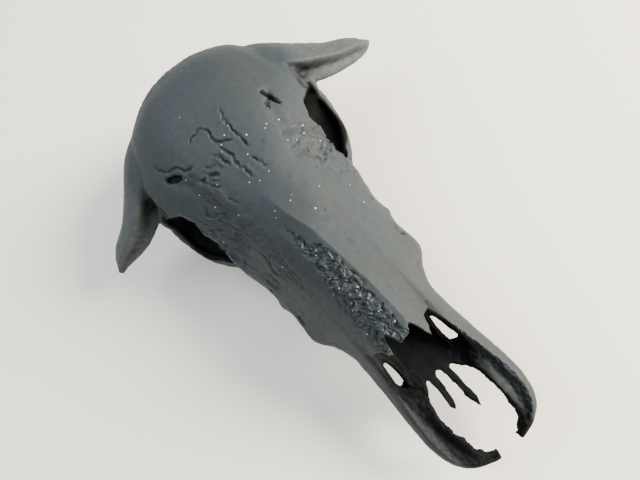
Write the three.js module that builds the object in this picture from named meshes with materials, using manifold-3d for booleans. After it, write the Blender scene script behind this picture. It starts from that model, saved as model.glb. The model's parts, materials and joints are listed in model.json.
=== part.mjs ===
// A small resin replica of a horned buffalo skull without its lower jaw.
// Millimetres. The skull is shaped in its own frame: +X to the animal's right, +Y to the snout, +Z up
// through the forehead, with the origin above the crown and the nasal bones near z = 0.
// The group at the end lays it on the floor as it rests.
import * as THREE from "three";
import { mergeVertices } from "three/addons/utils/BufferGeometryUtils.js";
import Module from "manifold-3d";

const wasm = await Module();
wasm.setup();

// Driving sizes
const GAP = 0.3; // between two bones that touch
const HORN_CUT = { at: new THREE.Vector3(26.4, 16, -10), lean: new THREE.Vector3(1, -0.08, -0.25) };
const FACE_CUT_Y = 51; // braincase from face
const PREMAXILLA_CUT_Y = 86; // face from premaxillae
const NASAL_WIDTH = 5.2; // half, over both nasal bones
const NASAL_DEPTH = -3.6;
const HORN_ROOM = { near: [22, -10, -17.7], nearEnd: 25.6, far: [29.6, -10, -40] }; // where a horn begins
const CHEEK_ROOM = { low: [21.6, 14, -30], high: [31, 50, -12.5] }; // the box that the zygomatic fills
const FINEST = 0.06; // smaller steps than this are left out
const SNOUT_SWAY = 0.8; // how far the premaxilla tips lean to the animal's left
// The skull lies on its front premolars and on the two processes beside the condyles: y and z of each,
// and how far they are worn flat there
const REST_ON = { teeth: [72.8, -34.4], processes: [0.6, -39], worn: 0.2 };

const V = (x, y, z) => new THREE.Vector3(x, y, z);

// A repeatable random number from 0 to 1
function randomFrom(seed) {
  let state = seed;
  return () => {
    state = (state * 1664525 + 1013904223) % 4294967296;
    return state / 4294967296;
  };
}

// Solids and how they join

function solid(geometry) {
  const plain = geometry.clone();
  plain.deleteAttribute("normal");
  plain.deleteAttribute("uv");
  const merged = mergeVertices(plain, 1e-4);
  const vertProperties = new Float32Array(merged.attributes.position.array);
  const triVerts = new Uint32Array(merged.index.array);
  const made = new wasm.Manifold(new wasm.Mesh({ numProp: 3, vertProperties, triVerts }));
  if (made.volume() > 0) return made;
  for (let i = 0; i < triVerts.length; i += 3) {
    [triVerts[i + 1], triVerts[i + 2]] = [triVerts[i + 2], triVerts[i + 1]];
  }
  return new wasm.Manifold(new wasm.Mesh({ numProp: 3, vertProperties, triVerts }));
}

const mirrored = (shape) => shape.mirror([1, 0, 0]);
const onSide = (shape, side) => (side > 0 ? shape : mirrored(shape));
const joined = (shapes) => shapes.reduce((whole, piece) => whole.add(piece));
const cutBy = (shape, cutters) => cutters.reduce((left, cutter) => left.subtract(cutter), shape);

function largest(shape) {
  const bodies = shape.decompose();
  bodies.sort((a, b) => b.volume() - a.volume());
  return bodies[0];
}

function ball(centre, radii, detail = 16) {
  const sphere = new THREE.SphereGeometry(1, detail, Math.round(detail * 0.6));
  sphere.scale(...radii).translate(...centre);
  return solid(sphere);
}

function block(low, high) {
  const box = new THREE.BoxGeometry(high[0] - low[0], high[1] - low[1], high[2] - low[2]);
  box.translate((low[0] + high[0]) / 2, (low[1] + high[1]) / 2, (low[2] + high[2]) / 2);
  return solid(box);
}

// A skin over closed loops of control points. A tube's vertices are moved onto smooth curves that run
// through the loops both ways.
function loft(loops, ringsPerLoop, samplesPerPoint) {
  const points = loops[0].length;
  const around = points * samplesPerPoint;
  const rings = (loops.length - 1) * ringsPerLoop;
  const rails = loops[0].map((_, k) => new THREE.CatmullRomCurve3(loops.map((loop) => loop[k])));
  const ringCurves = [];
  for (let i = 0; i <= rings; i++) {
    ringCurves.push(new THREE.CatmullRomCurve3(rails.map((rail) => rail.getPoint(i / rings)), true));
  }
  const ringPoints = ringCurves.map((curve) =>
    Array.from({ length: around }, (_, j) => curve.getPoint(j / around)),
  );
  const tube = new THREE.CylinderGeometry(1, 1, 1, around, rings, false);
  const position = tube.attributes.position;
  for (let v = 0; v < position.count; v++) {
    const ring = ringPoints[Math.round((0.5 - position.getY(v)) * rings)];
    const [x, z] = [position.getX(v), position.getZ(v)];
    let place;
    if (Math.hypot(x, z) < 0.5) {
      place = ring.reduce((sum, p) => sum.add(p), V(0, 0, 0)).divideScalar(around);
    } else {
      const turn = Math.round((Math.atan2(x, z) / (2 * Math.PI)) * around);
      place = ring[(turn + around) % around];
    }
    position.setXYZ(v, place.x, place.y, place.z);
  }
  return solid(tube);
}

// An outline in the XY plane whose sides are broken into ragged steps, pulled up from low to high
function raggedPrism(corners, low, high, step, size, random) {
  const shape = new THREE.Shape();
  corners.forEach(([x, y, smooth], i) => {
    const [nextX, nextY] = corners[(i + 1) % corners.length];
    const pieces = smooth ? 1 : Math.max(1, Math.round(Math.hypot(nextX - x, nextY - y) / step));
    for (let k = 0; k < pieces; k++) {
      const share = k / pieces;
      const shift = k ? size : size * 0.4;
      const px = x + (nextX - x) * share + (smooth ? 0 : (random() - 0.5) * shift);
      const py = y + (nextY - y) * share + (smooth ? 0 : (random() - 0.5) * shift);
      if (i || k) shape.lineTo(px, py);
      else shape.moveTo(px, py);
    }
  });
  shape.closePath();
  const prism = new THREE.ExtrudeGeometry(shape, { depth: high - low, bevelEnabled: false });
  return solid(prism.translate(0, 0, low));
}

// The head: one closed skin from the back of the skull to the nasal tips. Each station is half of a
// cross-section: y, the roof's height, [x, z] of the shoulder, brow, cheek, hem and palate, and the floor.
const HEAD = [
  [-6.1, -13.4, [4.6, -14], [8.6, -17.6], [9.2, -24], [7, -29], [3.8, -30.6], -30.6],
  [-5.4, -10, [7.2, -11.2], [12.8, -16.4], [13.4, -24.2], [9.8, -31], [5.4, -32.8], -32.4],
  [-3.2, -6.7, [8.8, -8.3], [16, -14.4], [16.4, -24.4], [12, -32.2], [6, -34.2], -33.6],
  [0.5, -3.4, [9.6, -5], [18.6, -11.8], [18, -24], [13, -33.5], [6, -35.5], -34.5],
  [7, 0.6, [11, -1.2], [21, -8.6], [17.4, -22], [12.5, -33], [6, -35.5], -35],
  [15, 2.7, [12, 0.7], [23.6, -7.6], [15.6, -20], [11, -31.5], [5.5, -35], -34.5],
  [24, 3.2, [12.6, 0.9], [25.8, -9.4], [15, -20], [9, -30], [5, -33.5], -33],
  [32, 2.7, [12, 0.3], [24, -10.4], [14.5, -20], [8, -28], [4.5, -31], -30.5],
  [40, 1.8, [10.2, -0.8], [20.8, -11.4], [16, -20], [10, -27.5], [6, -29.5], -28],
  [48, 0.8, [8.2, -1.6], [16.8, -10.6], [20.2, -20], [15, -29], [9.5, -30.5], -27],
  [58, 0.2, [6.2, -1.9], [13.4, -9.8], [18.2, -20.5], [15.6, -30], [9.8, -31], -26.5],
  [68, -0.2, [4.9, -2.1], [11.6, -10.2], [17.6, -22], [15.6, -30.2], [9.8, -30.8], -26],
  [75.5, -0.4, [4.5, -2.2], [10.6, -10.4], [18.2, -25], [14.6, -29.6], [9.6, -29.2], -25],
  [80.5, -0.5, [4.3, -2.3], [9.9, -10.2], [14.6, -21.8], [12, -25.4], [9, -25], -23.4],
  [86, -0.7, [4.1, -2.3], [8.8, -9.4], [12.4, -18.8], [11, -21.6], [8, -21.8], -21.6],
  [95, -1.2, [3.9, -2.6], [7.6, -9], [12.2, -18.6], [11, -20.4], [8, -20.6], -20.6],
];

function headLoop([y, roof, shoulder, brow, cheek, hem, palate, floor]) {
  const side = [shoulder, brow, cheek, hem, palate];
  const right = side.map(([x, z]) => V(x, y, z));
  const left = side.map(([x, z]) => V(-x, y, z)).reverse();
  return [V(0, y, roof), ...right, V(0, y, floor), ...left];
}

const headSkin = loft(HEAD.map(headLoop), 3, 4);

// The nasal cavity: a tunnel with thin walls, closed behind and open at the snout, in the same stations
const NASAL_TUNNEL = [
  [53, -8, [1.5, -9], [3.5, -12], [4.5, -16], [3, -19.5], [1.5, -20.5], -20.5],
  [60, -3.2, [3.6, -4.6], [8.4, -10.5], [11, -17.5], [8.5, -21.8], [5, -22.6], -22.6],
  [72, -2, [3.4, -3.7], [8.7, -11], [11.2, -18], [8.8, -20.8], [5, -21.4], -21.4],
  [84, -2, [3.1, -3.6], [7.2, -10], [10, -17.4], [8, -19.2], [5, -19.6], -19.6],
  [97, -2.3, [2.9, -3.8], [6.2, -9.6], [10.6, -18], [9.6, -21.6], [6, -22.4], -22.4],
];
const nasalTunnel = loft(NASAL_TUNNEL.map(headLoop), 3, 3);

// The ragged nasal tips seen from above, and the notch at each side between nasal and premaxilla
const tipRandom = randomFrom(7);
const NASAL_TIPS = [
  [-9, 89.4, true],
  [-6.2, 90.2],
  [-4.6, 94.6],
  [-2.8, 89.4],
  [-1.5, 91.6],
  [1.1, 91.9],
  [2.5, 88.2],
  [3.9, 92.6],
  [6.3, 89.6],
  [9, 89.4, true],
  [14, 89.4, true],
  [14, 104, true],
  [-14, 104, true],
  [-14, 89.4, true],
];
const beyondTips = raggedPrism(NASAL_TIPS, -9.2, 6, 1.2, 0.3, tipRandom);
const belowTips = block([-15, 88, -30], [15, 104, -9]);

// The orbit: a cup whose rim stands out from the side of the head under a broken brow
const ORBIT_RIM = [
  [26.4, 27.4, -12.4],
  [24.2, 29.8, -10.2],
  [21.2, 33, -7.9],
  [20, 37.4, -8.8],
  [19.4, 42, -11.2],
  [19.2, 46, -14.8],
  [20.4, 46.8, -18.6],
  [22.8, 43.4, -20.6],
  [25.6, 38.8, -21.4],
  [26.6, 33, -21.4],
  [27.4, 28, -19.6],
  [27.6, 26, -15.6],
].map((p) => V(...p));
const ORBIT_DEPTH = V(12.6, 37, -18.5);
const RIM_MIDDLE = V(23.8, 36.8, -16.8);
function orbitLoop(inward, thick, swell) {
  return ORBIT_RIM.map((p) => {
    const out = p.clone().sub(RIM_MIDDLE);
    const size = (1 - swell * inward * inward) + thick / out.length();
    return RIM_MIDDLE.clone().lerp(ORBIT_DEPTH, inward).addScaledVector(out, size);
  });
}
const orbitCup = loft([0, 0.3, 0.6, 0.85, 1].map((k) => orbitLoop(k, 0.9, 0.75)), 2, 2);
const orbitHollow = loft([-0.6, 0, 0.3, 0.6, 0.8].map((k) => orbitLoop(k, k < 0 ? 2 : 0, 0.75)), 2, 2);
const browRandom = randomFrom(21);
const BROW_EDGE = [
  [28.8, 27, true],
  [26.6, 27.6],
  [24.6, 29.3],
  [22.6, 31.6],
  [20.6, 32.8],
  [20.3, 35],
  [19, 37],
  [19.8, 40],
  [19, 43],
  [19.6, 46],
  [19.4, 48.2],
  [21.6, 47.2, true],
  [33, 44, true],
  [33, 27, true],
];
const browCut = raggedPrism(BROW_EDGE, -16.5, 4, 1, 0.7, browRandom);

// The cheek bone and its arch, which carry the outer rim of the orbit: [x, y, z, half width, half height]
const ARCH = [
  [16, 53, -24.6, 1.4, 3.2],
  [18, 48, -24, 1.5, 3.2],
  [21.8, 43.4, -22.8, 1.4, 2.9],
  [25, 38.4, -22.6, 1.2, 2.5],
  [26.6, 33, -22.2, 1.2, 2.4],
  [27.2, 27.4, -21, 1.3, 2.6],
  [26.6, 21, -20.6, 1.5, 2.6],
  [24.2, 13.6, -21, 1.6, 2.5],
  [20, 7, -22.5, 1.9, 2.6],
  [16, 3, -23.5, 2, 2.6],
];
function archLoop([x, y, z, wide, high], i) {
  const [before, after] = [ARCH[Math.max(0, i - 1)], ARCH[Math.min(ARCH.length - 1, i + 1)]];
  const along = V(after[0] - before[0], after[1] - before[1], 0).normalize();
  const out = V(along.y, -along.x, 0).multiplyScalar(-1);
  const corners = [[1, 0.55], [0.2, 1], [-0.8, 0.75], [-0.9, -0.6], [-0.1, -1], [0.9, -0.65]];
  return corners.map(([across, up]) => V(x, y, z + up * high).addScaledVector(out, across * wide));
}
const arch = loft(ARCH.map(archLoop), 2, 2);

// The bar behind the orbit, from the brow down to the arch
const BAR = [
  [23, 24.4, -7.5, 2.2, 2.6],
  [25.6, 25.2, -10.5, 1.4, 2.2],
  [26.9, 25.6, -14.5, 1, 1.7],
  [27.1, 25.4, -18.5, 1.1, 2],
  [27, 25, -21, 1, 2.2],
];
function barLoop([x, y, z, thick, deep]) {
  const corners = [[1, 0.4], [0.3, 1], [-0.8, 0.7], [-0.9, -0.7], [0.1, -1], [0.9, -0.6]];
  return corners.map(([across, along]) => V(x + across * thick, y + along * deep, z));
}
const orbitBar = loft(BAR.map(barLoop), 2, 2);

// The horn: a flattened core with a keel along its front. [x, y, z, half width, half thickness]
const HORN = [
  [14, 9.5, -9, 9, 6.5],
  [21, 13, -9.6, 8.4, 6.2],
  [28.6, 17.6, -12.4, 7, 4.9],
  [36.6, 20.9, -16, 5.3, 3.8],
  [42.8, 21.2, -19.6, 4.2, 3],
  [46.6, 21.6, -22.4, 2.7, 2.1],
  [48.9, 22, -24.2, 1.1, 0.9],
];
// How far each horn strays along y, station by station
const HORN_DRIFT = { right: [0, 0, 0, 0, -0.9, -1.3, -0.6], left: [2, 2, 1.8, 1.5, 1.2, 0.8, 0] };
// Its section, from the rear edge over the top and the groove to the front keel
const HORN_SECTION = [
  [-1, -0.1],
  [-0.5, 0.5],
  [0.1, 0.78],
  [0.56, 0.8],
  [0.74, 0.2],
  [1, -0.4],
  [0.45, -0.85],
  [-0.5, -0.75],
];
function hornLoop([x, y, z, wide, thick], i, drift) {
  const [before, after] = [HORN[Math.max(0, i - 1)], HORN[Math.min(HORN.length - 1, i + 1)]];
  const along = V(after[0] - before[0], after[1] - before[1], after[2] - before[2]).normalize();
  const front = V(0, 1, 0).addScaledVector(along, -along.y).normalize();
  const up = V(0, 0, 0).crossVectors(along, front).normalize();
  return HORN_SECTION.map(([across, rise]) =>
    V(x, y + drift[i], z)
      .addScaledVector(front, across * wide)
      .addScaledVector(up, rise * thick),
  );
}
const horn = (side) => {
  const drift = side > 0 ? HORN_DRIFT.right : HORN_DRIFT.left;
  return onSide(loft(HORN.map((station, i) => hornLoop(station, i, drift)), 4, 3), side);
};

// The premaxilla: a slanted blade that flattens forward and hooks inward at its tip. Each station gives
// [x, y] of the outer and inner edges, [x, z] of the ridge and the trough, and z of the rim and the base.
const PREMAXILLA = [
  [[12.2, 82], [9.6, 82], [9.4, -12], [8.6, -14], -17, -20.6],
  [[12.4, 88], [9.2, 88], [7.9, -9], [6.9, -10.4], -17.2, -20.2],
  [[12.5, 93], [8.9, 93], [8.9, -11.6], [7.9, -13.4], -17.6, -20],
  [[12.7, 98], [8.4, 98.4], [9.9, -13.6], [8.8, -15.8], -17.8, -20],
  [[13, 103], [6.4, 103.8], [10.8, -15.2], [9.4, -17], -17.4, -20],
  [[13.2, 108], [6.8, 108], [11.3, -16.2], [9.6, -17.8], -17, -20],
  [[12.9, 112.5], [6.4, 112.4], [11.4, -16.9], [9.2, -18.4], -17.4, -20.2],
  [[11.8, 116.2], [6, 115], [10.5, -17.5], [8.6, -18.8], -18, -20.6],
  [[9.9, 118.8], [6, 116.6], [8.9, -18.2], [7.9, -18.8], -18.6, -21],
  [[7.4, 120.4], [5.2, 118], [6.8, -19], [6.3, -19], -19.2, -21.4],
  [[4.8, 121.3], [3.9, 119], [4.6, -19.5], [4.4, -19.4], -19.7, -21.7],
  [[3, 121.5], [2.4, 119.7], [2.95, -19.7], [2.7, -19.9], -20.2, -21.6],
];
function premaxillaLoop([outer, inner, ridge, trough, rim, base], sway, random) {
  const span = inner[0] - outer[0] || 1;
  const yAt = (x) => outer[1] + (inner[1] - outer[1]) * Math.min(1, Math.max(0, (x - outer[0]) / span));
  const nick = (random() - 0.5) * 0.5;
  const middle = (outer[0] + inner[0]) / 2;
  const lean = sway * Math.max(0, (outer[1] - 88) / 33);
  const loop = [
    V(outer[0], outer[1], base + 0.7),
    V(ridge[0], yAt(ridge[0]), ridge[1]),
    V(trough[0], yAt(trough[0]), trough[1]),
    V(inner[0] + 0.5 + nick, yAt(inner[0] + 0.5), rim),
    V(inner[0] + nick, inner[1], (rim + base) / 2),
    V(middle, yAt(middle), base),
  ];
  return loop.map((p) => p.setX(p.x - lean));
}

// The palate plate between the blades, with its thin prong forward
const PALATE_FRONT = [
  [0, 80, true],
  [8.6, 80, true],
  [7.2, 87],
  [6.2, 90],
  [6, 94],
  [6.8, 96.8],
  [9.6, 98.2, true],
  [10.4, 101, true],
  [8.6, 105],
  [6.6, 104.8],
  [4.4, 102],
  [2.6, 99.4],
  [2.8, 103.4],
];
const PRONG = {
  right: [[3.2, 107.4], [2.5, 108.8], [1.6, 107]],
  left: [[2.9, 109.6], [2.1, 111.6], [1.2, 109]],
};
const PRONG_ROOT = [[1, 103], [0.8, 100.6], [0, 99.8, true]];

// The inner wall of the nose beside the slit: [y, x at the top, top, x at the foot]
const INNER_WALL = [
  [82, 8, -9.4, 7.8],
  [87, 7.4, -10, 7],
  [91, 6.5, -12.4, 6.2],
  [95, 6.1, -15.6, 5.9],
  [98.5, 6.6, -18, 6.5],
];
const innerWall = loft(
  INNER_WALL.map(([y, x, top, foot]) => [
    V(foot + 0.5, y, -19.8),
    V((x + foot) / 2 + 0.75, y, (top - 19.8) / 2),
    V(x + 0.3, y, top),
    V(x - 0.4, y, top),
    V((x + foot) / 2 - 0.35, y, (top - 19.8) / 2),
    V(foot - 0.9, y, -19.8),
  ]),
  2,
  2,
);

function premaxilla(side) {
  const random = randomFrom(side > 0 ? 31 : 57);
  const sway = SNOUT_SWAY * side;
  const blade = loft(PREMAXILLA.map((station) => premaxillaLoop(station, sway, random)), 3, 3);
  const outline = [...PALATE_FRONT, ...(side > 0 ? PRONG.right : PRONG.left), ...PRONG_ROOT];
  const plate = raggedPrism(outline, -20.4, -18.9, 1.6, 0.4, random);
  return onSide(joined([blade, plate, innerWall]), side);
}

// The back of the skull: condyles beside the foramen magnum, the processes beside them and the bullae
const condyle = ball([5.8, -5.2, -30.4], [3.6, 3.8, 4.6]);
const paroccipital = loft(
  [
    [11, 0, -30, 3],
    [12, -0.5, -34, 2.2],
    [12.4, -0.6, -37, 1.4],
    [12.4, -0.4, -39, 0.7],
  ].map(([x, y, z, r]) => [V(x + r, y, z), V(x, y + r * 1.5, z), V(x - r, y, z), V(x, y - r, z)]),
  2,
  3,
);
const bulla = ball([8.6, 8.5, -34.4], [2.8, 4.4, 2.8], 12);
const magnumHole = ball([0, -7, -27.6], [4.3, 10, 4], 20);

// The pterygoid wings beside the rear nasal opening
const wing = loft(
  [
    [5.6, 34, -25, 1, 7],
    [5.7, 34, -30, 0.8, 6],
    [5.5, 33, -33, 0.65, 4],
    [5.1, 32, -35, 0.55, 2],
  ].map(([x, y, z, thick, long]) => [
    V(x + thick, y, z),
    V(x, y + long, z),
    V(x - thick, y, z),
    V(x, y - long, z),
  ]),
  2,
  3,
);
const choana = ball([0, 33, -30], [4.6, 8, 7], 18);

// Cheek teeth: three premolars and three molars a side, in a gently bowed row
const TEETH = [
  { y: 71.6, x: 12.4, long: 4, wide: 3.8 },
  { y: 67.2, x: 12.7, long: 4.4, wide: 4.4 },
  { y: 62.5, x: 12.8, long: 4.6, wide: 5 },
  { y: 57.2, x: 12.8, long: 5.6, wide: 5.6 },
  { y: 51.1, x: 12.5, long: 6.2, wide: 5.8 },
  { y: 44.7, x: 11.8, long: 6.2, wide: 5.4 },
];
const TOOTH_TOP = -28;
const TOOTH_TIP = -34;
function tooth({ x, y, long, wide }) {
  const box = new THREE.BoxGeometry(wide, long - 0.3, TOOTH_TOP - TOOTH_TIP, 4, 6, 2);
  const position = box.attributes.position;
  for (let v = 0; v < position.count; v++) {
    const along = position.getY(v) / (long / 2);
    const across = position.getX(v) / (wide / 2);
    const waist = long > 4.5 ? 1 - 0.16 * Math.exp(-(along * along) / 0.05) : 1;
    const round = Math.sqrt(1 - 0.35 * along * along);
    const low = position.getZ(v) < -2;
    const cusp = low ? 0.55 * Math.cos(along * Math.PI * 2) * (0.4 + 0.6 * Math.abs(across)) : 0;
    position.setXYZ(v, position.getX(v) * waist * round, position.getY(v), position.getZ(v) + cusp);
  }
  box.translate(x, y, (TOOTH_TOP + TOOTH_TIP) / 2);
  return solid(box);
}
const toothRow = joined(TEETH.map(tooth));

// The pits above the eyes, where a vessel leaves the forehead
const browPit = ball([15.6, 28.8, 0.4], [0.9, 2.2, 2.4], 10);

// The vomer: a low wall that stands on the midline of the nasal floor. [y, foot, crest, half thickness]
const VOMER = [
  [58, -24, -17.6, 0.6],
  [66, -24, -16.8, 0.6],
  [76, -23, -16.8, 0.6],
  [84, -22, -17, 0.5],
];
const vomer = loft(
  VOMER.map(([y, foot, crest, thick]) => [
    V(thick, y, foot),
    V(thick * 0.8, y, crest - 0.4),
    V(0, y, crest),
    V(-thick * 0.8, y, crest - 0.4),
    V(-thick, y, foot),
    V(0, y, foot),
  ]),
  2,
  2,
);

// The floor that the skull lies on, in its own frame
const [teeth, processes] = [REST_ON.teeth, REST_ON.processes];
const nod = Math.atan2(processes[1] - teeth[1], teeth[0] - processes[0]);
const upright = [0, Math.sin(nod), Math.cos(nod)];
const floorLevel = upright[1] * teeth[0] + upright[2] * teeth[1] + REST_ON.worn;

// The whole skull in one piece
const bothSides = (shape) => [shape, mirrored(shape)];
const shell = cutBy(headSkin, [beyondTips, belowTips, nasalTunnel]);
const socketed = cutBy(joined([shell, ...bothSides(orbitCup)]), bothSides(orbitHollow));
const cranium = joined([
  cutBy(socketed, bothSides(browCut)),
  ...[arch, orbitBar, condyle, paroccipital, bulla, wing, toothRow].flatMap(bothSides),
]);
const openings = [magnumHole, choana, ...bothSides(browPit)];
const whole = joined([
  cutBy(cranium, openings),
  horn(1),
  horn(-1),
  premaxilla(1),
  premaxilla(-1),
]).trimByPlane(upright, floorLevel);

// The same skull parted into its bones, with a gap at each joint
const halfGap = GAP / 2;
const behind = (shape, y) => shape.trimByPlane([0, -1, 0], halfGap - y);
const ahead = (shape, y) => shape.trimByPlane([0, 1, 0], y + halfGap);
const ofSide = (shape, side) => shape.trimByPlane([side, 0, 0], halfGap);

function hornRoom(side, grow) {
  const [near, far] = [HORN_ROOM.near, HORN_ROOM.far];
  const root = block([near[0], near[1], near[2] - grow], [40, HORN_ROOM.nearEnd + grow, 8]);
  const beyond = block([far[0] - grow, far[1], far[2]], [70, 45, 8]);
  const lean = HORN_CUT.lean.clone().normalize();
  const room = root.add(beyond).trimByPlane(lean.toArray(), lean.dot(HORN_CUT.at) - grow);
  return onSide(room, side);
}
function cheekRoom(side, grow) {
  const low = CHEEK_ROOM.low.map((v) => v - grow);
  const high = CHEEK_ROOM.high.map((v) => v + grow);
  return onSide(block(low, high), side);
}
function noseRoom(grow) {
  const [wide, deep] = [NASAL_WIDTH + grow, NASAL_DEPTH - grow];
  const outline = new THREE.Shape();
  outline.moveTo(-wide, 6).lineTo(wide, 6).lineTo(wide, deep + 1).lineTo(wide - 1, deep);
  outline.lineTo(1 - wide, deep).lineTo(-wide, deep + 1).closePath();
  const room = new THREE.ExtrudeGeometry(outline, { depth: 60, bevelEnabled: false });
  room.rotateX(Math.PI / 2).translate(0, FACE_CUT_Y + halfGap - grow + 60, 0);
  return solid(room);
}

const hornless = cutBy(whole, [hornRoom(1, GAP), hornRoom(-1, GAP)]);
const trunk = cutBy(hornless, [cheekRoom(1, GAP), cheekRoom(-1, GAP)]);
const snout = ahead(trunk, FACE_CUT_Y);
const face = cutBy(snout, [noseRoom(GAP)]);

const parts = new Map();
parts.set("braincase", behind(trunk, FACE_CUT_Y));
parts.set("nasal_bones", snout.intersect(noseRoom(0)));
parts.set("vomer", cutBy(vomer, [whole, whole.translate([0, 0, GAP])]));
for (const [name, side] of [["right", 1], ["left", -1]]) {
  const cheekFace = ofSide(face, side);
  parts.set(`horn_${name}`, whole.intersect(hornRoom(side, 0)));
  parts.set(`cheek_bone_${name}`, hornless.intersect(cheekRoom(side, 0)));
  parts.set(`maxilla_${name}`, behind(cheekFace, PREMAXILLA_CUT_Y));
  parts.set(`premaxilla_${name}`, ahead(cheekFace, PREMAXILLA_CUT_Y));
}

const BONE = { braincase: 0x62696c, horn: 0x686d6d, maxilla: 0x6a6c69, premaxilla: 0x5d6362 };

// Lays the skull on the floor as it rests, with the snout towards -Y and the origin under its middle
const skull = new THREE.Group();
const attitude = new THREE.Group();
attitude.rotation.set(nod, 0, Math.PI, "ZXY");
skull.add(attitude);
for (const [name, shape] of parts) {
  const mesh = largest(shape).simplify(FINEST).getMesh();
  const geometry = new THREE.BufferGeometry();
  geometry.setAttribute("position", new THREE.BufferAttribute(mesh.vertProperties, 3));
  geometry.setIndex(new THREE.BufferAttribute(mesh.triVerts, 1));
  const kind = name.split("_")[0];
  const color = BONE[kind] ?? BONE.maxilla;
  const part = new THREE.Mesh(geometry, new THREE.MeshStandardMaterial({ color, roughness: 0.62 }));
  part.name = name;
  attitude.add(part);
}
skull.updateMatrixWorld(true);
const reach = new THREE.Box3().setFromObject(skull, true);
attitude.position.set(
  -(reach.min.x + reach.max.x) / 2,
  -(reach.min.y + reach.max.y) / 2,
  -reach.min.z,
);

export default skull;
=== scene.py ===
"""A small resin replica of a horned buffalo skull, dressed for its photograph.

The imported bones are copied, closed into one skin and carved in the skull's own frame: millimetres, +X to
the animal's right, +Y to the snout and +Z up through the forehead.
"""

import itertools
import json
import logging
import math
from dataclasses import dataclass, field
from enum import Enum
from typing import Any, Sequence

import bpy
import numpy as np
from mathutils import Matrix, Vector

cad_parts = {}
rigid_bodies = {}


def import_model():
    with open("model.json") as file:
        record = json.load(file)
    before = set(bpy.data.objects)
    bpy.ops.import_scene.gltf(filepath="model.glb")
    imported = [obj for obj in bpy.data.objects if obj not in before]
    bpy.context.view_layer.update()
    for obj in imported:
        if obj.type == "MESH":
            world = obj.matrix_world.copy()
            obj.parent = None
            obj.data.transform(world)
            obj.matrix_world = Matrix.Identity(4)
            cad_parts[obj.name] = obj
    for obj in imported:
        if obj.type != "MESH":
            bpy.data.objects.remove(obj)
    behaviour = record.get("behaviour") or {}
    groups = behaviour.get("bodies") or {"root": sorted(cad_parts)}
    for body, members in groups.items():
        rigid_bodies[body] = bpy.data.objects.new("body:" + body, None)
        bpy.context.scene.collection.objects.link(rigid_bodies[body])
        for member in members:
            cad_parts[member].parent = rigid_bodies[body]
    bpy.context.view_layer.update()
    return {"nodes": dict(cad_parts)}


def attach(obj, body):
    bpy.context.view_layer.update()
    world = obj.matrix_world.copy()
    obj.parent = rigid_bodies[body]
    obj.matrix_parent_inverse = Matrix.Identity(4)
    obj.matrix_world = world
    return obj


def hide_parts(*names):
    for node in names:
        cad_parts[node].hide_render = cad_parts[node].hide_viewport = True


LOG = logging.getLogger("buffalo_skull")
MM = 0.001
WELD = 2e-6
FACING_SHARE = 0.35
LEAST_SHARE = 0.02
Array = np.ndarray


def ramp(values: Array, low: float, high: float) -> Array:
    """Eases values from 0 at low to 1 at high.

    Args:
        values: Any array.
        low: Where the ramp starts; it may be above high.
        high: Where it ends.

    Returns:
        Numbers from 0 to 1, as many as there are values.
    """
    share = np.clip((values - low) / (high - low), 0.0, 1.0)
    return share * share * (3.0 - 2.0 * share)


def bell(values: Array, middle: float, width: float) -> Array:
    """A soft bump of height 1 round the middle, down to about a third at one width.

    Args:
        values: Any array.
        middle: Where the bump stands.
        width: Its half width.

    Returns:
        Numbers from 0 to 1.
    """
    return np.exp(-(((values - middle) / width) ** 2))


@dataclass(frozen=True)
class Attitude:
    """How the skull's own frame lies on the floor of the part's frame."""

    nod: float = 0.063626
    origin: tuple[float, float, float] = (-0.002, 54.549, 38.759)

    def turn(self) -> Array:
        """Returns the rotation from the skull's frame to the part's."""
        cos, sin = math.cos(self.nod), math.sin(self.nod)
        return np.array([[-1.0, 0.0, 0.0], [0.0, -cos, -sin], [0.0, -sin, cos]])

    def to_part(self, points: Array) -> Array:
        """Takes points from the skull's frame in millimetres to the part's in metres."""
        return (points @ self.turn().T + np.array(self.origin)) * MM

    def to_skull(self, points: Array) -> Array:
        """Takes points from the part's frame in metres to the skull's in millimetres."""
        return (points / MM - np.array(self.origin)) @ self.turn()


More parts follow.
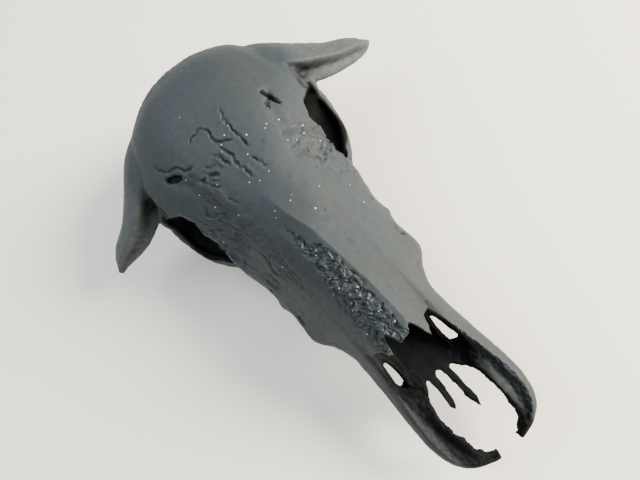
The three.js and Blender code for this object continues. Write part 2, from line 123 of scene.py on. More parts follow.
class Noise:
    """Repeatable noise in three dimensions for whole arrays of points."""

    def __init__(self, seed: int) -> None:
        """Sets up the tables that the noise draws from.

        Args:
            seed: The same seed always gives the same noise.
        """
        random = np.random.default_rng(seed)
        self.order = random.permutation(256)
        slopes = random.normal(size=(256, 3))
        self.slopes = slopes / np.linalg.norm(slopes, axis=1)[:, None]
        self.spots = random.random((256, 3))

    def _pick(self, cell: Array) -> Array:
        """Returns one table entry for each cell of the lattice."""
        first = self.order[cell[:, 0] & 255]
        second = self.order[(first + cell[:, 1]) & 255]
        return self.order[(second + cell[:, 2]) & 255]

    def waves(self, points: Array, size: float | tuple[float, float, float]) -> Array:
        """Smooth swells.

        Args:
            points: Where the noise is read.
            size: The length of a swell, or one for each axis.

        Returns:
            Numbers from about -1 to 1.
        """
        place = points / np.array(size)
        base = np.floor(place).astype(int)
        inside = place - base
        fade = inside**3 * (inside * (inside * 6.0 - 15.0) + 10.0)
        total = np.zeros(len(points))
        for corner in itertools.product((0, 1), repeat=3):
            slope = self.slopes[self._pick(base + corner)]
            weight = np.where(corner, fade, 1.0 - fade).prod(axis=1)
            total += weight * (slope * (inside - corner)).sum(axis=1)
        return total * 1.6

    def layered(self, points: Array, size: float | tuple[float, float, float], layers: int) -> Array:
        """Swells with finer swells upon them.

        Args:
            points: Where the noise is read.
            size: The length of the largest swell, or one for each axis.
            layers: How many sizes there are, each half the one before.

        Returns:
            Numbers from about -1 to 1.
        """
        sizes = np.array(size, dtype=float)
        total = np.zeros(len(points))
        for layer in range(layers):
            total += self.waves(points + 17.0 * layer, tuple(np.broadcast_to(sizes, 3))) * 0.5**layer
            sizes = sizes * 0.5
        return total

    def creases(self, points: Array, size: float | tuple[float, float, float], layers: int) -> Array:
        """Rounded swells between sharp furrows.

        Args:
            points: Where the noise is read.
            size: The distance between furrows, or one for each axis.
            layers: How many sizes there are.

        Returns:
            Numbers from 0 in a furrow to about 1 on a swell.
        """
        sizes = np.array(size, dtype=float)
        total = np.zeros(len(points))
        for layer in range(layers):
            total += np.abs(self.waves(points + 31.0 * layer, tuple(np.broadcast_to(sizes, 3)))) * 0.5**layer
            sizes = sizes * 0.5
        return total * 1.3

    def pebbles(self, points: Array, size: float) -> tuple[Array, Array]:
        """Distances to scattered seeds, for lumps and pits.

        Args:
            points: Where the noise is read.
            size: The mean distance between seeds.

        Returns:
            The distance to the nearest seed and to the next, as shares of the size.
        """
        place = points / size
        base = np.floor(place).astype(int)
        near = np.full(len(points), 9.0)
        second = np.full(len(points), 9.0)
        for step in itertools.product((-1, 0, 1), repeat=3):
            cell = base + step
            seed = cell + self.spots[self._pick(cell)]
            distance = np.linalg.norm(seed - place, axis=1)
            second = np.minimum(second, np.maximum(distance, near))
            near = np.minimum(near, distance)
        return near, second


class Surface:
    """A mesh's vertices in the skull's own frame, while they are worked on."""

    def __init__(self, mesh: bpy.types.Mesh, attitude: Attitude) -> None:
        """Reads the mesh.

        Args:
            mesh: The mesh, in the part's frame.
            attitude: How the two frames lie.
        """
        self.mesh = mesh
        self.attitude = attitude
        flat = np.empty(len(mesh.vertices) * 3, dtype=np.float32)
        mesh.vertices.foreach_get("co", flat)
        self.points = attitude.to_skull(flat.reshape(-1, 3).astype(float))
        mesh.vertex_normals.foreach_get("vector", flat)
        self.normals = flat.reshape(-1, 3).astype(float) @ attitude.turn()

    @property
    def side(self) -> Array:
        """The distance from the skull's middle plane."""
        return np.abs(self.points[:, 0])

    def push(self, amount: Array) -> None:
        """Moves every vertex along its normal by its own amount and reads the new normals."""
        self.points = self.points + self.normals * amount[:, None]
        self.write()

    def write(self) -> None:
        """Puts the vertices back into the mesh and reads the new normals."""
        flat = self.attitude.to_part(self.points).astype(np.float32).ravel()
        self.mesh.vertices.foreach_set("co", flat)
        self.mesh.update()
        self.mesh.vertex_normals.foreach_get("vector", flat)
        self.normals = flat.reshape(-1, 3).astype(float) @ self.attitude.turn()

    def neighbours(self) -> Array:
        """Returns the two ends of every edge."""
        ends = np.empty(len(self.mesh.edges) * 2, dtype=np.int32)
        self.mesh.edges.foreach_get("vertices", ends)
        return ends.reshape(-1, 2)

    def hollowness(self, rounds: int) -> Array:
        """How far each vertex lies below the middle of what surrounds it.

        Args:
            rounds: How often the surroundings are averaged, so how far they reach.

        Returns:
            Millimetres, above 0 in a hollow and below 0 on an edge.
        """
        ends = self.neighbours()
        count = len(self.points)
        degree = np.bincount(ends.ravel(), minlength=count)[:, None]
        mean = self.points.copy()
        for _ in range(rounds):
            total = np.empty_like(mean)
            for axis in range(3):
                total[:, axis] = np.bincount(ends[:, 0], mean[ends[:, 1], axis], count)
                total[:, axis] += np.bincount(ends[:, 1], mean[ends[:, 0], axis], count)
            mean = 0.5 * mean + 0.5 * total / degree
        return ((mean - self.points) * self.normals).sum(axis=1)

    def store(self, name: str, values: Array) -> None:
        """Keeps one number for each vertex as a named attribute of the mesh."""
        layer = self.mesh.attributes.get(name) or self.mesh.attributes.new(name, "FLOAT", "POINT")
        layer.data.foreach_set("value", values.astype(np.float32))


def path_distance(points: Array, path: Array) -> tuple[Array, Array]:
    """How far points lie from a line of straight stretches.

    Args:
        points: One row of two or three numbers each.
        path: The line's corners, in rows of as many numbers.

    Returns:
        The distance of each point, and how far along the line its nearest place is, from 0 to 1.
    """
    lengths = np.linalg.norm(np.diff(path, axis=0), axis=1)
    starts = np.concatenate([[0.0], np.cumsum(lengths)])
    nearest = np.full(len(points), 1e9)
    along = np.zeros(len(points))
    for index, length in enumerate(lengths):
        step = path[index + 1] - path[index]
        share = np.clip(((points - path[index]) @ step) / max(length**2, 1e-9), 0.0, 1.0)
        distance = np.linalg.norm(points - path[index] - share[:, None] * step, axis=1)
        closer = distance < nearest
        nearest[closer] = distance[closer]
        along[closer] = (starts[index] + share[closer] * length) / starts[-1]
    return nearest, along


def jagged(path: Sequence[tuple[float, float]], size: float, seed: int) -> Array:
    """Breaks a line into short crooked stretches.

    Args:
        path: The line's corners.
        size: How far a stretch strays for its length.
        seed: For the repeatable choice.

    Returns:
        The corners of the crooked line.
    """
    random = np.random.default_rng(seed)
    corners = np.array(path, dtype=float)
    for _ in range(3):
        steps = np.diff(corners, axis=0)
        across = np.stack([-steps[:, 1], steps[:, 0]], axis=1)
        middles = corners[:-1] + steps * 0.5 + across * random.uniform(-size, size, (len(steps), 1))
        merged = np.empty((len(corners) + len(middles), 2))
        merged[0::2] = corners
        merged[1::2] = middles
        corners = merged
    return corners


@dataclass(frozen=True)
class Fissure:
    """A crack with one raised lip in the top of the skull, seen from above."""

    path: tuple[tuple[float, float], ...]
    width: float = 0.26
    depth: float = 0.5
    lip: float = 0.15
    seed: int = 1

    def line(self) -> Array:
        """Returns the crack's crooked line."""
        return jagged(self.path, 0.2, self.seed)

    def carve(self, surface: Surface, noise: Noise) -> Array:
        """Works out how far the crack pushes each vertex.

        Args:
            surface: The skin.
            noise: Roughens the edges.

        Returns:
            Millimetres along each vertex's normal.
        """
        amount = np.zeros(len(surface.points))
        line = self.line()
        low, high = line.min(axis=0) - 2.0, line.max(axis=0) + 2.0
        flat = surface.points[:, :2]
        near = (flat > low).all(axis=1) & (flat < high).all(axis=1) & (surface.normals[:, 2] > 0.2)
        near &= surface.points[:, 2] > -16.0
        points = surface.points[near]
        distance, along = path_distance(points[:, :2], line)
        distance = np.maximum(distance + 0.1 * noise.waves(points, 0.6), 0.0)
        fade = ramp(along, -0.02, 0.1) * ramp(along, 1.02, 0.86)
        width = self.width * (1.0 + 0.5 * noise.waves(points, 1.9)) * (0.55 + 0.45 * fade)
        strength = fade * (0.85 + 0.5 * noise.waves(points + 40.0, 2.2))
        amount[near] = -self.depth * strength * np.exp(-((distance / width) ** 2))
        edge = bell(distance, 0.75, 0.4)
        amount[near] += self.lip * strength * edge * (0.5 + noise.waves(points + 9.0, 1.5))
        return amount


FISSURES = (
    Fissure(((17.4, 20.5), (16.3, 23.4), (14.5, 26.2), (12.1, 28.5), (10.1, 30.6), (9.0, 31.2)), seed=2),
    Fissure(
        ((-4.8, 25.1), (-4.0, 27.0), (-3.3, 29.5), (-3.2, 31.9), (-3.5, 35.9), (-3.7, 38.1)),
        0.3,
        0.55,
        seed=3,
    ),
    Fissure(((6.4, 26.9), (4.8, 25.5), (2.0, 25.7), (1.8, 29.5), (0.2, 32.3), (-1.8, 34.3)), seed=4),
    Fissure(((2.2, 32.3), (1.3, 34.2), (1.1, 38.8), (0.8, 41.7), (0.2, 44.2)), 0.34, 0.42, 0.25, seed=5),
    Fissure(((-2.2, 39.7), (-2.9, 41.7), (-3.4, 44.1)), 0.26, 0.4, seed=6),
    Fissure(((10.5, 34.7), (8.4, 35.8), (6.9, 36.5), (6.0, 37.8)), 0.36, 0.4, 0.2, seed=7),
    Fissure(((7.2, 33.6), (6.4, 34.8), (5.0, 35.3)), 0.26, 0.28, 0.15, seed=8),
    Fissure(((4.4, 33.2), (3.2, 34.6), (3.0, 36.4), (2.2, 37.8)), 0.34, 0.4, 0.25, seed=9),
    Fissure(((12.4, 31.6), (11.0, 33.6), (9.0, 35.6)), 0.6, 0.2, 0.05, seed=10),
)


@dataclass(frozen=True)
class HornAxis:
    """The middle line of the horns with their half sizes, from the root to the tip."""

    reach: tuple[float, ...] = (14.0, 21.0, 28.6, 36.6, 42.8, 46.6, 48.9)
    forward: tuple[float, ...] = (9.5, 13.0, 17.6, 20.9, 21.2, 21.6, 22.0)
    height: tuple[float, ...] = (-9.0, -9.6, -12.4, -16.0, -19.6, -22.4, -24.2)
    wide: tuple[float, ...] = (9.0, 8.4, 7.0, 5.3, 4.2, 2.7, 1.1)
    thick: tuple[float, ...] = (6.5, 6.2, 4.9, 3.8, 3.0, 2.1, 0.9)
    drift_right: tuple[float, ...] = (0.0, 0.0, 0.0, 0.0, -0.9, -1.3, -0.6)
    drift_left: tuple[float, ...] = (2.0, 2.0, 1.8, 1.5, 1.2, 0.8, 0.0)

    def around(self, surface: Surface) -> tuple[Array, Array]:
        """Works out where vertices lie round the horn that is on their side.

        Args:
            surface: The skin.

        Returns:
            The angle in degrees from the front edge up, and the horn's half thickness there.
        """
        side = surface.side
        right = np.interp(side, self.reach, np.add(self.forward, self.drift_right))
        left = np.interp(side, self.reach, np.add(self.forward, self.drift_left))
        middle = np.where(surface.points[:, 0] > 0.0, right, left)
        across = (surface.points[:, 1] - middle) / np.interp(side, self.reach, self.wide)
        thick = np.interp(side, self.reach, self.thick)
        rise = 0.88 * (surface.points[:, 2] - np.interp(side, self.reach, self.height)) / thick
        return np.degrees(np.arctan2(rise + 0.1, across)), thick


@dataclass(frozen=True)
class Orbit:
    """The eye socket: an oval cup in the side of the head."""

    middle: tuple[float, float] = (36.8, -15.6)
    half_length: float = 10.2
    half_height: float = 6.9

    def share(self, surface: Surface) -> Array:
        """Returns each vertex's distance from the cup's middle, where the rim is at 1."""
        _, y, z = surface.points.T
        length, height = (y - self.middle[0]) / self.half_length, (z - self.middle[1]) / self.half_height
        return np.hypot(length, height)

    def inside(self, surface: Surface) -> Array:
        """Returns how far each vertex belongs to the inner wall of the cup, from 0 to 1."""
        _, y, z = surface.points.T
        side, share = surface.side, self.share(surface)
        ahead, above = y - self.middle[0], z - self.middle[1]
        inward = -(surface.normals[:, 1] * ahead + surface.normals[:, 2] * above)
        facing = ramp(inward / np.maximum(np.hypot(ahead, above), 0.1), 0.0, 0.4)
        wall = np.maximum(ramp(share, 1.02, 0.86), facing * ramp(share, 1.4, 1.2))
        return wall * ramp(side, 9.4, 10.6) * ramp(side, 27.6, 26.0)


@dataclass(frozen=True)
class Tooth:
    """A cheek tooth: its middle, its length along the row, its width and its lobes."""

    y: float
    x: float
    length: float
    width: float
    lobes: int

    def carve(self, surface: Surface) -> Array:
        """Works out how the worn crown and the ribbed sides push each vertex.

        Args:
            surface: The skin.

        Returns:
            Millimetres along each vertex's normal.
        """
        amount = np.zeros(len(surface.points))
        along = (surface.points[:, 1] - self.y) / (self.length / 2)
        across = (surface.side - self.x) / (self.width / 2)
        near = (np.abs(along) < 1.25) & (np.abs(across) < 1.4) & (surface.points[:, 2] < -28.6)
        along, across, down = along[near], across[near], surface.normals[near, 2]
        starts = (-0.5, 0.5) if self.lobes == 2 else (0.0,)
        reach = 0.46 if self.lobes == 2 else 0.85
        crown = np.zeros(len(along))
        for start in starts:
            ring = np.hypot((along - start) / reach, across * 1.05)
            pit, rim, pillar = bell(ring, 0.5, 0.17), bell(ring, 0.86, 0.12), bell(ring, 0.0, 0.2)
            crown += -0.42 * pit + 0.16 * rim + 0.1 * pillar
        ribs = 0.16 * np.cos(along * math.pi * self.lobes * 2.0) * ramp(np.abs(across), 0.6, 0.95)
        neck = ramp(surface.points[near, 2], -31.5, -29.0)
        amount[near] = crown * ramp(down, -0.5, -0.85) + ribs * ramp(down, -0.7, -0.3) * (1.0 - 0.6 * neck)
        return amount


TEETH = (
    Tooth(71.6, 12.4, 4.0, 3.8, 1),
    Tooth(67.2, 12.7, 4.4, 4.4, 1),
    Tooth(62.5, 12.8, 4.6, 5.0, 1),
    Tooth(57.2, 12.8, 5.6, 5.6, 2),
    Tooth(51.1, 12.5, 6.2, 5.8, 2),
    Tooth(44.7, 11.8, 6.2, 5.4, 2),
)


class View(Enum):
    """The sides that seams are drawn on: the two axes that are seen, and the way that the side faces."""

    SIDE = ((1, 2), (1.0, 0.0, 0.0))
    PALATE = ((0, 1), (0.0, 0.0, -1.0))
    BACK = ((0, 2), (0.0, -1.0, 0.0))


@dataclass(frozen=True)
class Seam:
    """A winding suture or a small hole, on the side, the palate or the back of the skull."""

    path: tuple[tuple[float, float], ...]
    view: View
    depth: float = 0.2
    width: float = 0.22
    sway: float = 0.5
    seed: int = 1

    def carve(self, surface: Surface) -> Array:
        """Works out how far the line pushes each vertex, the same on both sides of the head.

        Args:
            surface: The skin.

        Returns:
            Millimetres along each vertex's normal.
        """
        plane, facing = self.view.value
        mirror = np.sign(surface.points[:, 0])
        normals = surface.normals * np.stack([mirror, np.ones_like(mirror), np.ones_like(mirror)], axis=1)
        placed = np.stack([surface.side, surface.points[:, 1], surface.points[:, 2]], axis=1)
        flat = placed[:, plane]
        line = jagged(self.path, self.sway, self.seed)
        low, high = line.min(axis=0) - 2.0, line.max(axis=0) + 2.0
        near = (flat > low).all(axis=1) & (flat < high).all(axis=1)
        near &= normals @ np.array(facing) > FACING_SHARE
        amount = np.zeros(len(flat))
        distance, _ = path_distance(flat[near], line)
        amount[near] = -self.depth * np.exp(-((distance / self.width) ** 2))
        return amount


SEAMS = (
    Seam(((52.0, -11.0), (54.5, -14.5), (51.5, -18.5), (53.5, -24.0)), View.SIDE, 0.18, 0.2, 0.5, 3),
    Seam(((83.0, -14.0), (79.5, -17.5), (78.0, -23.0)), View.SIDE, 0.16, 0.2, 0.35, 4),
    Seam(((69.6, -19.6), (71.0, -20.2)), View.SIDE, 1.3, 0.75, 0.1, 5),
    Seam(((60.0, -17.0), (60.3, -17.3)), View.SIDE, 0.7, 0.4, 0.1, 6),
    Seam(((3.6, -27.6), (4.6, -27.2)), View.SIDE, 1.6, 1.0, 0.1, 7),
    Seam(((40.0, -27.0), (45.0, -24.4)), View.SIDE, 0.2, 0.2, 0.6, 8),
    Seam(((0.0, 40.0), (0.12, 60.0), (0.05, 86.0)), View.PALATE, 0.32, 0.22, 0.03, 9),
    Seam(((0.0, 53.4), (4.0, 54.2), (8.6, 50.4)), View.PALATE, 0.26, 0.22, 0.4, 10),
    Seam(((5.4, 56.2), (5.6, 57.6)), View.PALATE, 1.1, 0.6, 0.1, 11),
    Seam(((4.9, 50.6), (5.0, 51.0)), View.PALATE, 0.7, 0.4, 0.1, 12),
    Seam(((0.0, 13.5), (4.0, 13.9), (8.0, 12.6)), View.PALATE, 0.25, 0.22, 0.3, 13),
    Seam(((8.6, 20.5), (9.4, 22.0)), View.PALATE, 1.2, 0.7, 0.1, 14),
    Seam(((7.6, 3.0), (7.9, 3.8)), View.PALATE, 1.2, 0.6, 0.1, 15),
    Seam(((3.4, -14.2), (3.6, -14.0)), View.BACK, 0.6, 0.4, 0.1, 16),
    Seam(((0.0, -20.6), (6.0, -21.4), (11.0, -24.6), (12.6, -29.0)), View.BACK, 0.22, 0.24, 0.4, 17),
)


class Carver:
    """Carves the forms and the surface of the skull into its skin.

    Its numbers are places, widths and depths in millimetres of the skull's own frame, or shares up to 1.
    """

    def __init__(self, seed: int = 11) -> None:
        """Sets up the noise and the parts that repeat."""
        self.noise = Noise(seed)
        self.horns = HornAxis()
        self.orbit = Orbit()

    @staticmethod
    def _within(surface: Surface, region: Array) -> tuple[Array, Array, Array]:
        """Returns which vertices a region takes in, no push for any vertex, and their points."""
        near = region > LEAST_SHARE
        return near, np.zeros(len(region)), surface.points[near]

    def forms(self, surface: Surface) -> None:
        """Carves the larger forms: ridges, hollows and swellings."""
        x, y, z = surface.points.T
        side, up, rear = surface.side, surface.normals[:, 2], -surface.normals[:, 1]
        top = ramp(up, 0.1, 0.5)
        amount = 0.26 * self.noise.waves(surface.points, 11.0) * top * ramp(y, 78.0, 60.0)
        ridge_y = [46.0, 50.6, 56.5, 61.8, 70.6, 79.1, 90.0]
        ridge_x = np.interp(y, ridge_y, [1.4, 1.2, 0.2, -1.1, -1.9, -2.6, -2.7])
        off = np.abs(x - ridge_x)
        on_nose = ramp(y, 44.0, 58.0) * top * ramp(side, 11.0, 6.0) * ramp(z, -9.0, -6.0)
        amount += on_nose * (0.62 * np.exp(-off / 1.1) - 0.2 * bell(off, 3.4, 1.8))
        amount -= 0.5 * bell(side, 14.2, 2.6) * bell(y, 50.0, 5.0) * ramp(up, 0.0, 0.3)
        groove_line = np.array([[15.8, 28.0], [13.6, 33.0], [12.0, 39.0], [10.8, 45.0]])
        groove, _ = path_distance(np.stack([side, y], axis=1), groove_line)
        amount -= 0.3 * bell(groove, 0.0, 1.3) * top * ramp(z, -14.0, -10.0)
        amount += self.back(surface, side, rear) + self.flanks(surface, side)
        amount += self.horn_form(surface)
        socket = ramp(self.orbit.share(surface), 0.92, 0.45) * ramp(side, 20.0, 17.0) * ramp(side, 9.0, 11.0)
        amount -= 2.8 * socket * ramp(np.abs(surface.normals[:, 0]), 0.2, 0.6)
        surface.push(amount)

    def back(self, surface: Surface, side: Array, rear: Array) -> Array:
        """Returns the push of the crest, the knob and the muscle hollows on the back of the skull."""
        _, y, z = surface.points.T
        off_crest = z + 9.4 + 0.022 * side**2
        reach = ramp(y, 3.0, -2.0) * ramp(side, 17.5, 14.0)
        amount = 0.75 * bell(off_crest, 0.0, 1.1) * reach
        amount -= 0.45 * bell(off_crest, -4.2, 2.4) * reach * ramp(side, 1.2, 3.5)
        facing = ramp(rear, 0.3, 0.7)
        amount += 0.8 * bell(z, -13.6, 1.7) * bell(side, 0.0, 1.7) * facing
        amount += 0.35 * bell(side, 0.0, 0.6) * ramp(z, -23.0, -20.0) * ramp(z, -10.5, -13.0) * facing
        off_border = side - 14.6 + 0.12 * (z + 22.0)
        amount += 0.5 * bell(off_border, 0.0, 1.0) * bell(z, -21.5, 7.0) * ramp(y, 3.0, 0.0)
        rough = self.noise.creases(surface.points, (1.6, 1.6, 2.8), 2) - 0.5
        amount += 0.22 * rough * facing * ramp(z, -25.0, -20.0) * ramp(side, 15.0, 11.0)
        return amount

    def flanks(self, surface: Surface, side: Array) -> Array:
        """Returns the push of the cheek's knob and crest, the arch's edges and the sockets of the teeth."""
        _, y, z = surface.points.T
        outward = ramp(np.abs(surface.normals[:, 0]), 0.25, 0.7)
        face = outward * ramp(side, 9.0, 11.0) * ramp(side, 23.0, 21.0)
        amount = 0.7 * bell(np.hypot(y - 63.5, (z + 24.4) * 1.2), 0.0, 2.6) * face
        crest_line = np.array([[63.5, -24.4], [56.0, -23.4], [48.5, -22.6]])
        crest, _ = path_distance(np.stack([y, z], axis=1), crest_line)
        amount += 0.45 * bell(crest, 0.0, 1.0) * face
        amount -= 0.5 * bell(y, 71.5, 6.0) * bell(z, -17.0, 3.6) * face
        alveoli = bell(z, -28.6, 1.4) * ramp(y, 40.0, 42.0) * ramp(y, 75.5, 73.5) * bell(side, 14.4, 2.4)
        amount += 0.3 * alveoli * (0.75 + 0.5 * np.cos((y - 71.6) * 2.0 * math.pi / 5.2)) * outward
        arch = ramp(side, 20.5, 22.5) * bell(z, -22.0, 3.4) * ramp(y, 6.0, 10.0) * ramp(y, 46.0, 42.0)
        amount -= 0.28 * arch * outward * bell(z, -21.8, 1.5)
        return amount

    def horn_form(self, surface: Surface) -> Array:
        """Returns the push that sharpens the keel of each horn and hollows its front."""
        angle, thick = self.horns.around(surface)
        side = surface.side
        reach = ramp(side, 23.0, 25.5) * ramp(side, 48.0, 43.0) * (thick / 4.9)
        root = ramp(side, 34.0, 26.0)
        front = surface.points[:, 1] > np.interp(side, self.horns.reach, self.horns.forward)
        amount = (0.42 * bell(angle, 56.0, 9.0) - (0.9 + 0.45 * root) * bell(angle, 22.0, 17.0)) * front
        return (amount + 0.2 * bell(angle, -18.0, 10.0) * front) * reach

    def worn_edges(self, surface: Surface, edge: Array) -> Array:
        """Works out how the broken margins of the orbits, nasal tips and snout are worn.

        Args:
            surface: The skin.
            edge: How sharp an edge each vertex lies on, from 0 to 1.

        Returns:
            Millimetres along each vertex's normal.
        """
        _, y, z = surface.points.T
        side = surface.side
        upper_rim = bell(self.orbit.share(surface), 1.02, 0.2)
        upper_rim = upper_rim * ramp(z, -17.0, -13.0) * ramp(side, 15.0, 17.0)
        inward = -surface.normals[:, 0] * np.sign(surface.points[:, 0])
        blade = ramp(y, 90.0, 96.0) * ramp(z, -9.0, -11.0) * (0.45 + 1.1 * ramp(inward, -0.2, 0.3))
        blade *= ramp(y, 122.0, 117.0)
        tips = bell(y, 91.0, 4.0) * ramp(z, -9.5, -7.0) * 0.5
        bites = np.minimum(self.noise.layered(surface.points, 1.7, 2), 0.4)
        return bites * edge * (1.2 * np.clip(upper_rim + 0.7 * tips, 0.0, 1.0) + 1.15 * blade)

    def swirls(self, surface: Surface) -> Array:
        """Returns the push of the soft wrinkled furrows before and above the orbits."""
        x, y, z = surface.points.T
        side, up = surface.side, surface.normals[:, 2]
        right = np.maximum(bell(y, 45.0, 9.5), 0.55 * bell(y, 60.0, 9.0)) * ramp(side, 5.5, 9.0)
        left = 0.85 * bell(y, 44.0, 7.0) * ramp(side, 9.0, 12.0)
        region = np.where(x > 0.0, right, left) * ramp(up, -0.15, 0.2)
        region = region * ramp(y, 30.0, 37.0) * ramp(z, -18.0, -14.0)
        region = np.clip(region * (0.8 + 0.9 * self.noise.waves(surface.points, 5.5)), 0.0, 1.0)
        near, amount, points = self._within(surface, region)
        slanted = points[:, 0] * 0.9 + points[:, 1] * 0.42
        turned = np.stack([slanted, points[:, 1] * 0.9, points[:, 2]], axis=1)
        bent = turned + 1.5 * np.stack([self.noise.waves(turned + k, 4.2) for k in (3.0, 51.0, 90.0)], axis=1)
        furrow = self.noise.creases(bent, (2.1, 5.0, 2.4), 3)
        amount[near] = region[near] * 1.05 * (np.minimum(furrow, 0.8) - 0.45)
        return amount

    def nose_band(self, surface: Surface) -> tuple[Array, Array]:
        """Works out the crumpled band along the nose.

        Args:
            surface: The skin.

        Returns:
            The push of each vertex, and how far each belongs to the band.
        """
        x, y, z = surface.points.T
        inner = np.interp(y, [58.0, 62.0, 68.0, 76.0, 92.0], [2.6, 2.0, -0.9, -1.6, -1.7])
        outer = np.interp(y, [58.0, 62.0, 68.0, 73.6, 78.7, 92.0], [3.0, 3.4, 3.8, 4.5, 4.9, 4.8])
        wander = 0.7 * self.noise.layered(surface.points, 2.6, 2)
        band = ramp(x + wander, inner - 0.35, inner + 0.25) * ramp(x + wander, outer + 1.1, outer - 0.6)
        band *= ramp(y, 54.0, 64.0) * ramp(surface.normals[:, 2], 0.0, 0.4) * ramp(z, -8.0, -6.0)
        near, amount, points = self._within(surface, band)
        pushes = np.stack([self.noise.waves(points + k, 1.7) for k in (5.0, 23.0, 71.0)], axis=1)
        bent = points + 0.8 * pushes
        crumple = self.noise.creases(bent, (1.9, 2.5, 2.0), 3)
        lump, next_lump = self.noise.pebbles(bent, 2.1)
        plates = np.minimum(next_lump - lump, 0.5)
        amount[near] = band[near] * (0.75 * (crumple - 0.5) + 0.4 * (plates - 0.3) - 0.2)
        return amount, band

    def pits(self, surface: Surface) -> Array:
        """Returns the push of the vessel holes over the eyes and of small scattered pits."""
        flat = surface.points[:, :2] + 0.2 * self.noise.waves(surface.points, 1.0)[:, None]
        top = (surface.normals[:, 2] > 0.3) & (surface.points[:, 2] > -14.0)
        amount = np.zeros(len(flat))
        right, along = path_distance(flat, np.array([(17.0, 26.6), (15.4, 27.8), (13.6, 29.6)]))
        amount -= 1.5 * ramp(right, 0.85, 0.3) * ramp(along, 1.15, 0.75) * top
        shelf, _ = path_distance(flat, np.array([(16.0, 29.4), (14.2, 31.0), (12.6, 33.2)]))
        amount -= 0.2 * ramp(shelf, 1.4, 0.3) * top * (0.6 + self.noise.waves(surface.points, 1.8))
        left, _ = path_distance(flat, np.array([(-14.7, 27.4), (-15.2, 29.4), (-15.9, 31.6)]))
        amount -= 1.2 * ramp(left, 0.7, 0.25) * top
        hook, _ = path_distance(flat, np.array([(-15.2, 29.6), (-13.5, 30.6), (-13.1, 31.8)]))
        amount -= 0.7 * ramp(hook, 0.5, 0.15) * top
        return amount

    def horn_grain(self, surface: Surface) -> Array:
        """Returns the push of the lengthwise furrows of the horns."""
        region = ramp(surface.side, 23.0, 30.0) * ramp(surface.side, 48.5, 44.0)
        near, amount, points = self._within(surface, region)
        amount[near] = region[near] * 0.1 * (self.noise.creases(points, (13.0, 1.8, 2.2), 2) - 0.5)
        return amount

    def blade_grain(self, surface: Surface) -> Array:
        """Returns the push of the torn and pitted inner faces of the two snout blades."""
        region = ramp(surface.points[:, 1], 93.0, 99.0) * ramp(surface.side, 3.5, 5.0)
        inward = -surface.normals[:, 0] * np.sign(surface.points[:, 0])
        region *= ramp(inward + 0.5 * surface.normals[:, 2], 0.1, 0.5)
        near, amount, points = self._within(surface, region)
        bent = points + 0.6 * self.noise.waves(points, 2.0)[:, None]
        furrow = np.minimum(self.noise.creases(bent, (1.5, 2.6, 1.5), 3), 0.8)
        amount[near] = region[near] * 0.42 * (furrow - 0.45)
        return amount

    def surface_grain(self, surface: Surface) -> Array:
        """Returns the push of the fine unevenness that is all over the skin."""
        hidden = ramp(surface.points[:, 2], -14.0, -20.0)
        broad = self.noise.layered(surface.points, 2.6, 3)
        return (0.05 + 0.05 * hidden) * broad

    def details(self, surface: Surface, edge: Array) -> None:
        """Carves the cracks, pits, furrows, teeth and grain.

        Args:
            surface: The skin.
            edge: How sharp an edge each vertex lies on, from 0 to 1.
        """
        amount = self.pits(surface)
        for mark in FISSURES:
            amount += mark.carve(surface, self.noise)
        for seam in SEAMS:
            amount += seam.carve(surface)
        for tooth in TEETH:
            amount += tooth.carve(surface)
        band_push, band = self.nose_band(surface)
        amount += band_push + self.swirls(surface) * (1.0 - band)
        amount += self.horn_grain(surface) + self.surface_grain(surface)
        amount += self.blade_grain(surface) + self.worn_edges(surface, edge)
        surface.push(amount)


class Value:
    """A shader socket that can be written in sums, products and comparisons."""

    def __init__(self, board: "NodeBoard", source: Any) -> None:
        """Wraps an output socket or a plain number.

        Args:
            board: Where new nodes go.
            source: The socket or the number.
        """
        self.board = board
        self.source = source

    def _math(self, operation: str, *values: Any, clamp: bool = False) -> "Value":
        """Adds a Math node and returns its result."""
        settings = {"operation": operation, "use_clamp": clamp}
        return self.board.add("ShaderNodeMath", settings, dict(enumerate(values)))

    def __add__(self, other: Any) -> "Value":
        """Returns the sum."""
        return self._math("ADD", self, other)

    def __radd__(self, other: Any) -> "Value":
        """Returns the sum, with a number first."""
        return self._math("ADD", other, self)

    def __sub__(self, other: Any) -> "Value":
        """Returns the difference."""
        return self._math("SUBTRACT", self, other)

    def __rsub__(self, other: Any) -> "Value":
        """Returns the difference, with a number first."""
        return self._math("SUBTRACT", other, self)

    def __mul__(self, other: Any) -> "Value":
        """Returns the product."""
        return self._math("MULTIPLY", self, other)

    def __rmul__(self, other: Any) -> "Value":
        """Returns the product, with a number first."""
        return self._math("MULTIPLY", other, self)

    def __lt__(self, other: Any) -> "Value":
        """Returns 1 where this is smaller, else 0."""
        return self._math("LESS_THAN", self, other)

    def clamped(self) -> "Value":
        """Returns the value held between 0 and 1."""
        return self._math("ADD", self, 0.0, clamp=True)

    def eased(self, low: float, high: float) -> "Value":
        """Returns 0 at low and 1 at high, eased between them."""
        settings = {"interpolation_type": "SMOOTHSTEP"}
        inputs = {"Value": self, "From Min": low, "From Max": high}
        return self.board.add("ShaderNodeMapRange", settings, inputs)


